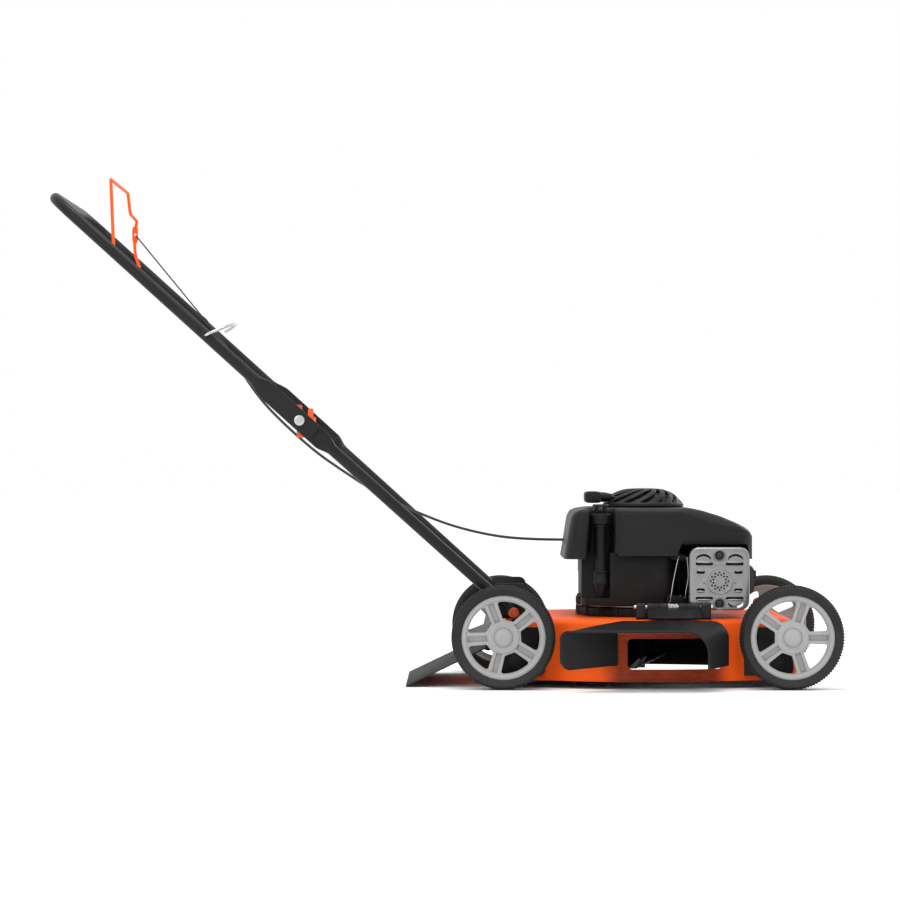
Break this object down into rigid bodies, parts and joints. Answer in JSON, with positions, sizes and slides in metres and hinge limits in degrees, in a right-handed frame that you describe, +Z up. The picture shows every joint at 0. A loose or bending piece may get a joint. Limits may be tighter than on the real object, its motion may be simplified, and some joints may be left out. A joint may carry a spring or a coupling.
{
  "type": "walk-behind side-discharge mower",
  "caption": "Walk-behind push mower with a stamped deck, side discharge hood, vertical-shaft engine, folding U handle with bail, and cranked axles for cutting height.",
  "frame": {"origin": "on the ground, midway between the left and right wheel tracks, near the middle of the overall length", "axes": "+X forward, +Y to the operator's left, +Z up"},
  "size_m": [1.5525, 0.603, 1.0042],
  "materials": {
    "orange_paint": "gloss powder coat",
    "black_paint": "satin powder coat",
    "black_plastic": "moulded, fine texture",
    "orange_plastic": "moulded, semi gloss",
    "grey_plastic": "moulded, satin",
    "tyre_rubber": "matte with tread",
    "flap_rubber": "matte sheet",
    "cable_jacket": "satin extrusion",
    "bright_steel": "zinc plated",
    "blade_steel": "ground edge on dark steel",
    "guard_steel": "pressed satin sheet",
    "cast_alloy": "dark coated casting",
    "muffler_steel": "heat darkened"
  },
  "bodies": {
    "chassis": {"deck_shell": "orange_paint", "axle_brackets": "black_paint", "handle_brackets": "black_paint", "flap_hinge_rod": "black_paint", "chute_hinge_bracket": "black_plastic", "chute_hinge_rod": "bright_steel", "chute_spring": "bright_steel", "sump_cover": "cast_alloy", "engine_bolts": "bright_steel", "crankcase": "cast_alloy", "piston_and_rod": "bright_steel", "cylinder_head": "cast_alloy", "spark_plug": "black_plastic", "ignition_coil": "black_plastic", "muffler_body": "muffler_steel", "muffler_guard": "guard_steel", "muffler_screws": "blade_steel", "blower_shroud": "black_plastic", "recoil_cover": "black_plastic", "oil_fill_tube": "black_plastic", "fuel_tank": "black_plastic", "carburettor": "cast_alloy", "air_filter_cover": "black_plastic", "governor_linkage": "bright_steel", "lower_handle_left": "black_paint", "lower_handle_right": "black_paint", "handle_bolts": "bright_steel", "cam_saddles": "orange_plastic", "brake_cable_lower": "cable_jacket"},
    "upper_handle": {"upper_handle": "black_paint", "rope_guide": "bright_steel", "brake_wire": "blade_steel", "brake_cable_upper": "cable_jacket"},
    "bail": {"bail": "orange_paint"},
    "cam_lever_left": {"cam_lever_left": "orange_plastic"},
    "cam_lever_right": {"cam_lever_right": "orange_plastic"},
    "brake_lever": {"brake_lever": "blade_steel"},
    "discharge_deflector": {"discharge_deflector": "black_plastic"},
    "rear_flap": {"rear_flap": "flap_rubber"},
    "crank_assembly": {"crankshaft": "blade_steel", "flywheel": "cast_alloy", "blade_adapter": "cast_alloy", "blade": "blade_steel", "blade_bolt": "blade_steel"},
    "starter_handle": {"starter_handle": "black_plastic"},
    "starter_pulley": {"starter_pulley": "grey_plastic"},
    "oil_dipstick": {"oil_dipstick": "black_plastic"},
    "fuel_cap": {"fuel_cap": "black_plastic"},
    "front_axle": {"front_axle": "bright_steel", "front_lever_knob": "orange_plastic"},
    "rear_axle": {"rear_axle": "bright_steel", "rear_lever_knob": "orange_plastic"},
    "front_left_wheel": {"front_left_rim": "grey_plastic", "front_left_tyre": "tyre_rubber"},
    "front_right_wheel": {"front_right_rim": "grey_plastic", "front_right_tyre": "tyre_rubber"},
    "rear_left_wheel": {"rear_left_rim": "grey_plastic", "rear_left_tyre": "tyre_rubber"},
    "rear_right_wheel": {"rear_right_rim": "grey_plastic", "rear_right_tyre": "tyre_rubber"}
  },
  "joints": [
    {"name": "handle_fold", "type": "hinge", "parent": "chassis", "child": "upper_handle", "pos_m": [-0.2834, 0, 0.5236], "axis": [0, 1, 0], "range_deg": [0, 130]},
    {"name": "bail_press", "type": "hinge", "parent": "upper_handle", "child": "bail", "pos_m": [-0.648, 0, 0.854], "axis": [0, 1, 0], "range_deg": [-34, 0], "stiffness_Nm_per_rad": 1.5, "springref_deg": 22.92},
    {"name": "cam_left_open", "type": "hinge", "parent": "chassis", "child": "cam_lever_left", "pos_m": [-0.2834, 0.208, 0.5236], "axis": [-1, 0, 0], "range_deg": [0, 105]},
    {"name": "cam_right_open", "type": "hinge", "parent": "chassis", "child": "cam_lever_right", "pos_m": [-0.2834, -0.208, 0.5236], "axis": [1, 0, 0], "range_deg": [0, 105]},
    {"name": "brake_lever_turn", "type": "hinge", "parent": "chassis", "child": "brake_lever", "pos_m": [0.284, 0.042, 0.268], "axis": [0, 0, 1], "range_deg": [-17, 0]},
    {"name": "deflector_lift", "type": "hinge", "parent": "chassis", "child": "discharge_deflector", "pos_m": [0.45, -0.2, 0.158], "axis": [-1, 0, 0], "range_deg": [0, 75], "stiffness_Nm_per_rad": 0.4, "springref_deg": -34.38},
    {"name": "flap_lift", "type": "hinge", "parent": "chassis", "child": "rear_flap", "pos_m": [0.084, 0, 0.078], "axis": [0, 1, 0], "range_deg": [-20, 65]},
    {"name": "blade_spin", "type": "hinge", "parent": "chassis", "child": "crank_assembly", "pos_m": [0.3935, 0, 0.2], "axis": [0, 0, 1], "continuous": true},
    {"name": "starter_pull", "type": "slide", "parent": "chassis", "child": "starter_handle", "axis": [-1, 0, 0], "range_m": [0, 0.5], "stiffness_N_per_m": 12, "springref_m": -0.25},
    {"name": "starter_pulley_turn", "type": "hinge", "parent": "chassis", "child": "starter_pulley", "pos_m": [0.3935, 0, 0.335], "axis": [0, 0, 1], "range_deg": [0, 900]},
    {"name": "dipstick_pull", "type": "slide", "parent": "chassis", "child": "oil_dipstick", "axis": [0, 0, 1], "range_m": [0, 0.16]},
    {"name": "fuel_cap_turn", "type": "hinge", "parent": "chassis", "child": "fuel_cap", "pos_m": [0.318, 0.196, 0.33], "axis": [0, 0, 1], "range_deg": [0, 90]},
    {"name": "front_height", "type": "hinge", "parent": "chassis", "child": "front_axle", "pos_m": [0.647, 0, 0.075], "axis": [0, 1, 0], "range_deg": [0, 75]},
    {"name": "rear_height", "type": "hinge", "parent": "chassis", "child": "rear_axle", "pos_m": [0.14, 0, 0.075], "axis": [0, -1, 0], "range_deg": [0, 75]},
    {"name": "front_left_wheel_spin", "type": "hinge", "parent": "front_axle", "child": "front_left_wheel", "pos_m": [0.674, 0.245, 0.1015], "axis": [0, 1, 0], "continuous": true},
    {"name": "front_right_wheel_spin", "type": "hinge", "parent": "front_axle", "child": "front_right_wheel", "pos_m": [0.674, -0.245, 0.1015], "axis": [0, 1, 0], "continuous": true},
    {"name": "rear_left_wheel_spin", "type": "hinge", "parent": "rear_axle", "child": "rear_left_wheel", "pos_m": [0.113, 0.245, 0.1015], "axis": [0, 1, 0], "continuous": true},
    {"name": "rear_right_wheel_spin", "type": "hinge", "parent": "rear_axle", "child": "rear_right_wheel", "pos_m": [0.113, -0.245, 0.1015], "axis": [0, 1, 0], "continuous": true}
  ],
  "couplings": [
    {"joint": "brake_lever_turn", "follows": "bail_press", "ratio": 0.5},
    {"joint": "starter_pulley_turn", "follows": "starter_pull", "rad_per_m": 31.25}
  ]
}
